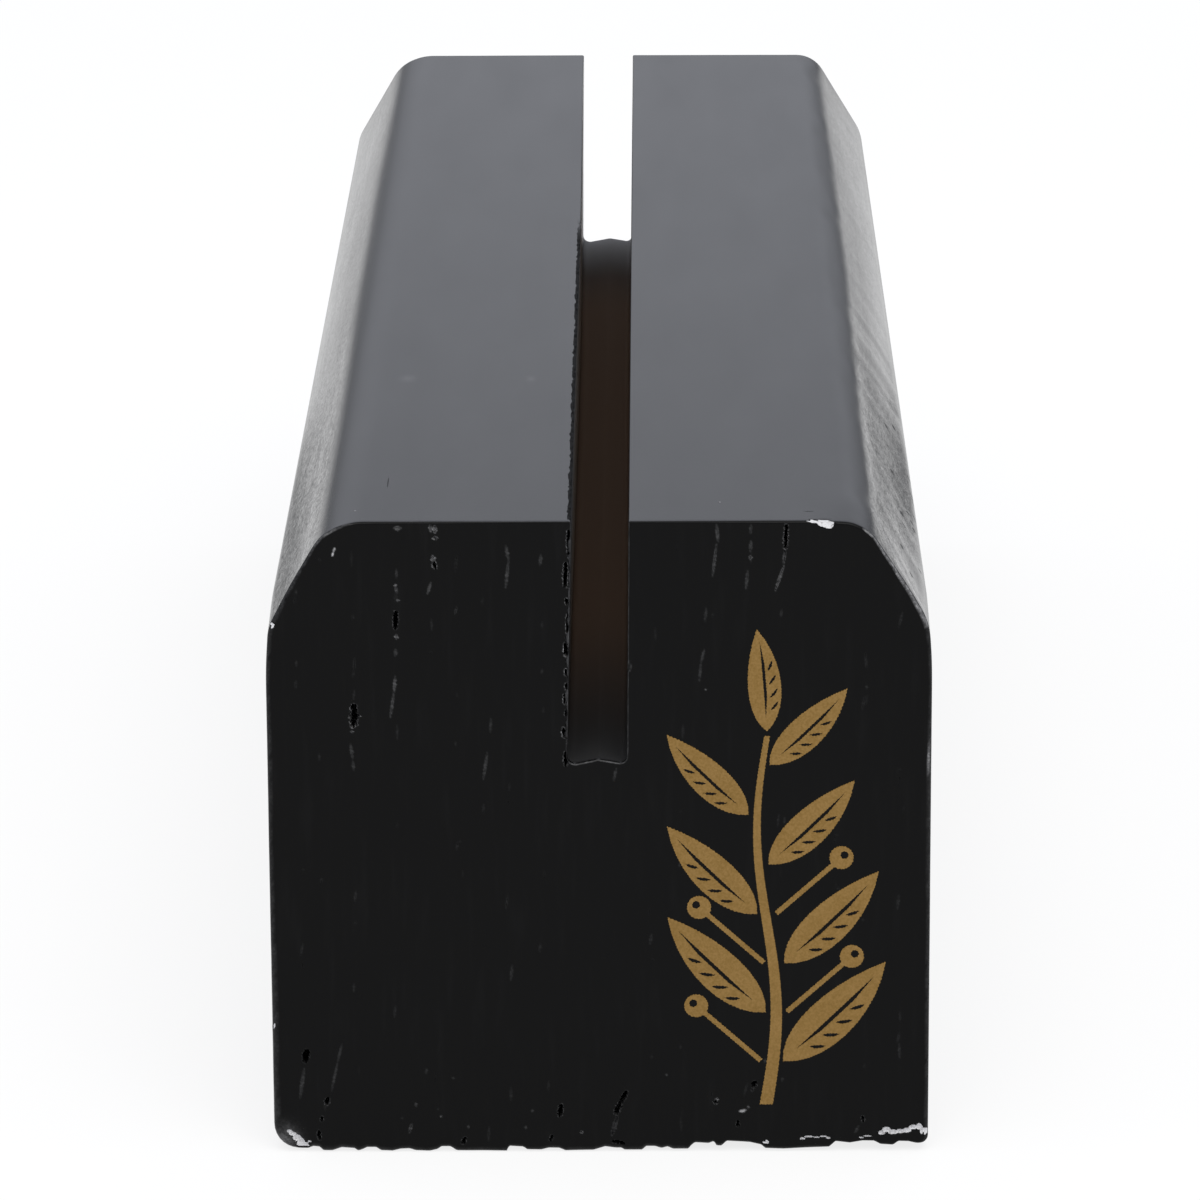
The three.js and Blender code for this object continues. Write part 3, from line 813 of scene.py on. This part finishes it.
dulled = on_right * (dull_band + front_band + 0.3 * coat.between(fan, 1.3, 0.9) * fan_lines)
dulled = dulled + 0.06 * on_left * (left_stripe + left_foot)
# The pale colour, wear with painted glints, is broken up by the crumbs.
wear_and_glint_seen = wear_and_glint * (0.6 + 0.8 * coat.between(crumbs, 0.4, 0.6))
colour = coat.mixed(wear_and_glint_seen + 0.3 * nib_bumps_and_highlights + 0.05 * smudges + 0.11 * sheen_line, colour, GROUND)
ground = coat.mixed(coat.between(crumbs, 0.5, 0.68), GROUND, DULL_GROUND)
colour = coat.mixed(bare_edge, colour, ground)

# The paint is satin, uneven where it was sanded, dull in the slot and at the marks. The upper part
# of the slot's left wall is smoother towards the back.
satin = SATIN + 0.06 * coat.noise(place, (300, 60, 300), 3)
sanding = 0.9 * (1 - 0.7 * behind) * (0.2 * streaks + 0.65 * sanded + 0.15 * fine - 0.5)
satin = satin + on_slope * (0.02 + sanding + behind * (0.016 * up_slope - 0.09))
smooth_wall = on_wall * coat.between(depth, 0, 12)
raw = in_kerf.sum("MAXIMUM", in_kerf - 0.75 * smooth_wall, torn_edge)
marks_seen = 0.4 * bare_edge + 0.25 * scratches + 0.2 * pits_seen + 0.07 * crease
roughness = satin + 0.6 * raw + marks_seen + dulled
bump = coat.add("ShaderNodeBump", {}, {"Height": relief, "Distance": MICROMETRE, "Strength": 1.0})
sockets = {"Base Color": colour, "Roughness": roughness, "IOR": PAINT_IOR, "Normal": bump}
skin = coat.add("ShaderNodeBsdfPrincipled", {}, sockets)
coat.add("ShaderNodeOutputMaterial", {}, {"Surface": skin})

mesh.materials.append(black_paint)
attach(wood_bar, "root")
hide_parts("wood_block")


# The print
#
# A leafy sprig in gold, screen-printed on the front end after painting. Each island of ink is a
# thin film, and its outline steps finely where the screen's threads crossed it.
INK_FILM = 0.042
INK_SHARP = 60
THREAD = 0.17
THREAD_TURN = radians(22)
THREAD_STEP = 0.02
OUTLINE_GAP = 0.045
FEWEST_POINTS = 24
GOLD = (0.178, 0.1, 0.02, 1)
PALE_GOLD = (0.262, 0.156, 0.048, 1)

gold_ink = bpy.data.materials.new("gold_ink")
ink = Finish(gold_ink)
place = ink.add("ShaderNodeTexCoord", out="Object")
grains = ink.noise(place, (7000, 7000, 7000), 3, 0.7)
patches = ink.noise(place, (600, 600, 600), 3)
speckle = 0.7 * ink.between(grains, 0.32, 0.68) + 0.2 * ink.between(patches, 0.3, 0.7)
colour = ink.mixed(speckle, GOLD, PALE_GOLD)
bump = ink.add("ShaderNodeBump", {}, {"Height": grains + 0.5 * patches, "Distance": 10 * MICROMETRE})
sockets = {"Base Color": colour, "Roughness": 0.42 + 0.2 * grains, "Normal": bump}
sockets.update({"Metallic": 0.15, "IOR": 1.3})
ink.add("ShaderNodeOutputMaterial", {}, {"Surface": ink.add("ShaderNodeBsdfPrincipled", {}, sockets)})


def outlines(node):
    """The outline and the holes of an ink node's front, each as a closed row of (x, z) in mm."""
    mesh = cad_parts[node].data
    at = np.array([v.co for v in mesh.vertices]) / MM
    keys = {tuple(p.round(4)): p[[0, 2]] for p in at}
    ahead, edges = {}, {}
    for face in mesh.polygons:
        ring = [tuple(at[v].round(4)) for v in face.vertices]
        if all(p[1] < FRONT - INK_FILM for p in ring):
            for a, b in zip(ring, ring[1:] + ring[:1]):
                edges[a, b] = True
    for a, b in edges:
        if (b, a) not in edges:
            ahead[a] = b
    loops = []
    while ahead:
        here, after = ahead.popitem()
        loop = [here]
        while after != loop[0]:
            loop.append(after)
            after = ahead.pop(after)
        loops.append(np.array([keys[p] for p in loop]))
    return loops


def stepped(loop):
    """A finely divided outline that steps in and out where the threads crossed it."""
    closed = np.vstack([loop, loop[:1]])
    run = np.concatenate([[0], np.cumsum(np.linalg.norm(np.diff(closed, axis=0), axis=1))])
    count = max(FEWEST_POINTS, round(run[-1] / OUTLINE_GAP))
    at = np.linspace(0, run[-1], count, endpoint=False)
    line = np.column_stack([np.interp(at, run, closed[:, k]) for k in (0, 1)])
    turn = np.array([[cos(THREAD_TURN), -sin(THREAD_TURN)], [sin(THREAD_TURN), cos(THREAD_TURN)]])
    threads = np.sin(2 * pi * (line @ turn) / THREAD)
    return line + THREAD_STEP * threads[:, ::-1] @ turn.T


for node in sorted(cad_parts):
    if not node.startswith("print_"):
        continue
    drawing = bpy.data.curves.new("drawing", "CURVE")
    drawing.dimensions = "2D"
    drawing.fill_mode = "BOTH"
    drawing.extrude = INK_FILM / 2 * MM
    for loop in outlines(node):
        line = stepped(loop) * MM
        spline = drawing.splines.new("POLY")
        spline.points.add(len(line) - 1)
        flat = np.column_stack([line, np.zeros(len(line)), np.ones(len(line))])
        spline.points.foreach_set("co", flat.ravel())
        spline.use_cyclic_u = True
    film = bpy.data.meshes.new_from_object(bpy.data.objects.new("drawing", drawing))
    upright = Matrix.Rotation(pi / 2, 4, "X")
    film.transform(Matrix.Translation((0, (FRONT - INK_FILM / 2) * MM, 0)) @ upright)
    film.materials.clear()
    film.materials.append(gold_ink)
    film.shade_smooth()
    film.set_sharp_from_angle(angle=radians(INK_SHARP))
    island = linked(node.replace("print_", "gold_"), film)
    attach(island, "root")
    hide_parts(node)


# The stage
#
# A pale table under an even pale sky and one wide soft lamp above the front, with the camera
# where the photograph was taken from.
SKY = (0.93, 0.96, 1.05, 1)
SKY_LEVEL = 0.8
HORIZON = 0.3  # the air's level where it meets the table
TABLE = (0.95, 0.95, 0.95, 1)
WHITE = (1, 1, 1, 1)
# Painted shade: the table's colour darkens towards its far edge, standing in for light falling off there.
FAR_TABLE_SHADE = (0.6, 0.6, 0.6, 1)  # it falls off towards its far edge
TABLE_GLOW = 0.8  # how far the table shows as plain white
TABLE_REACH = 4  # metres from its middle to its edges
SEEN_RAYS = ("Is Camera Ray", "Is Glossy Ray", "Is Transmission Ray")

world = bpy.data.worlds.new("studio")
bpy.context.scene.world = world
air = Finish(world)
way = air.add("ShaderNodeTexCoord", out="Generated")
upward = air.add("ShaderNodeSeparateXYZ", {}, {0: way}, "Z")
level = SKY_LEVEL + (1 - SKY_LEVEL) * air.on_rays(*SEEN_RAYS)
level = level * (HORIZON + (1 - HORIZON) * air.between(upward, 0.03, 0.21))
sky = air.add("ShaderNodeBackground", {}, {"Color": SKY, "Strength": level})
air.add("ShaderNodeOutputWorld", {}, {"Surface": sky})

pale_table = bpy.data.materials.new("pale_table")
top = Finish(pale_table)
far = top.between(top.length(top.add("ShaderNodeTexCoord", out="Object")), 0.5, 1.8)
matt = top.add("ShaderNodeBsdfDiffuse", {}, {"Color": top.mixed(far, TABLE, FAR_TABLE_SHADE)})
glow = top.add("ShaderNodeEmission", {}, {"Color": WHITE, "Strength": 1.0})
share = (1 - 0.5 * far) * (TABLE_GLOW * top.on_rays(*SEEN_RAYS))
surface = top.add("ShaderNodeMixShader", {}, {0: share, 1: matt, 2: glow})
top.add("ShaderNodeOutputMaterial", {}, {"Surface": surface})
mesh = bpy.data.meshes.new("table")
table_corners = [(TABLE_REACH * x, TABLE_REACH * y, 0) for x, y in ((-1, -1), (1, -1), (1, 1), (-1, 1))]
mesh.from_pydata(table_corners, [], [(0, 1, 2, 3)])
mesh.materials.append(pale_table)
table = linked("table", mesh)

light = bpy.data.lights.new("soft_lamp", "AREA")
light.size = 1.0
light.energy = 9.0
light.color = (1.0, 0.97, 0.9)
lamp = linked("soft_lamp", light)
lamp.location = (0.1, -0.7, 1.0)
lamp.rotation_euler = (radians(36), 0, radians(6))

camera = linked("camera", bpy.data.cameras.new("camera"))
camera.data.lens = 205.52
camera.data.sensor_width = 36
camera.location = (0.00313, -0.46374, 0.14779)
camera.rotation_euler = (radians(74.0345), radians(0.2573), radians(0.3682))
bpy.context.scene.camera = camera
bpy.context.scene.view_settings.view_transform = "Standard"
